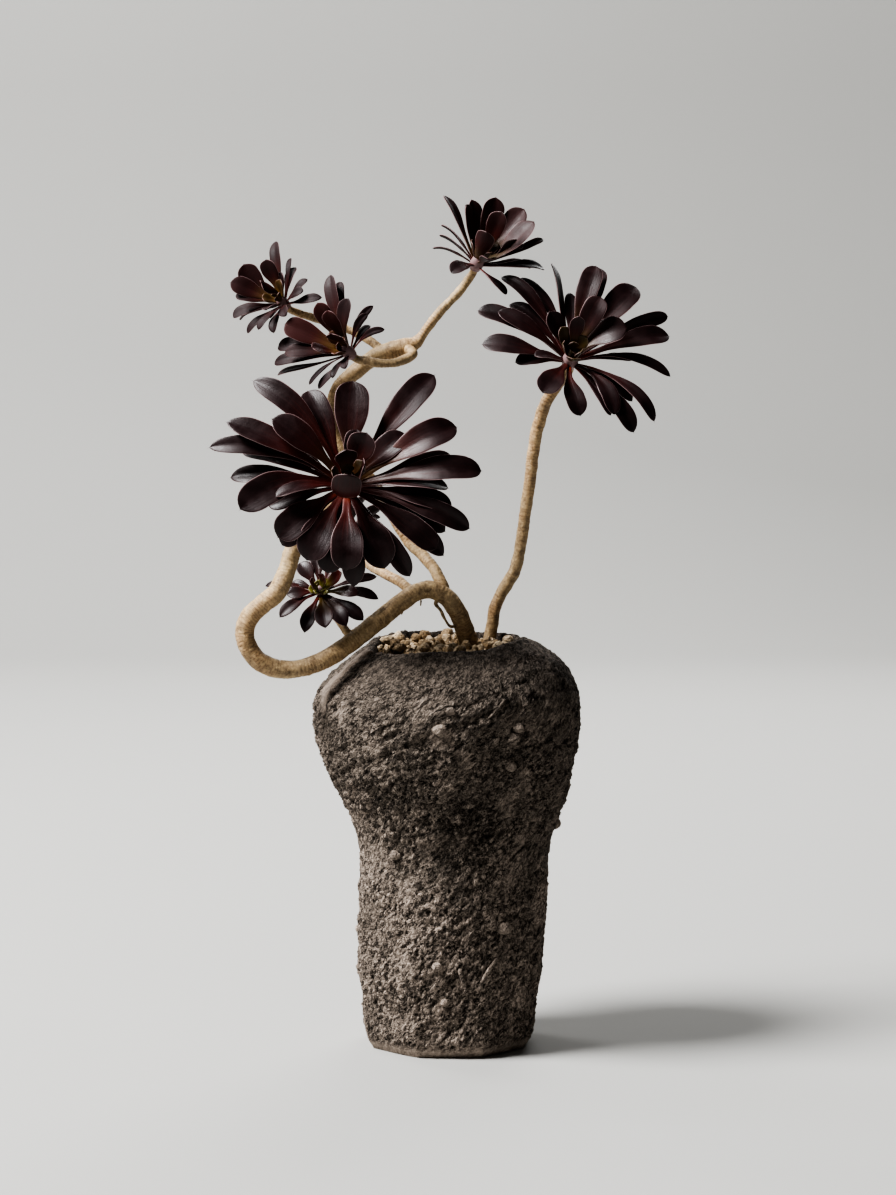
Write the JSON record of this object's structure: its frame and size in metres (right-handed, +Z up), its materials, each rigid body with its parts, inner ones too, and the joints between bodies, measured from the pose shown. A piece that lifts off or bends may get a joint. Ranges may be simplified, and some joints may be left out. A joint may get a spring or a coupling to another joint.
{
  "type": "potted aeonium",
  "caption": "Dark-leaved tree aeonium with a looping branched stem and open rosettes, planted under pumice grit in a tall rough stoneware pot.",
  "frame": {"origin": "centre of the pot's foot, on the surface it stands on", "axes": "+Z up along the pot, +X to the right as seen from the front, the front view looks along +Y"},
  "size_m": [0.2657, 0.1661, 0.496],
  "materials": {
    "pot": "matte",
    "soil": "matte",
    "grit": "matte",
    "bark": "matte",
    "leaf": "satin"
  },
  "bodies": {
    "root": {"pot": "pot", "soil": "soil", "grit_topping": "grit", "stem_looping": "bark", "stem_upright": "bark", "rosette_large": "leaf", "rosette_right": "leaf", "rosette_top": "leaf", "rosette_upper_left": "leaf", "rosette_middle_left": "leaf", "rosette_low": "leaf", "rosette_rear": "leaf"}
  },
  "joints": []
}
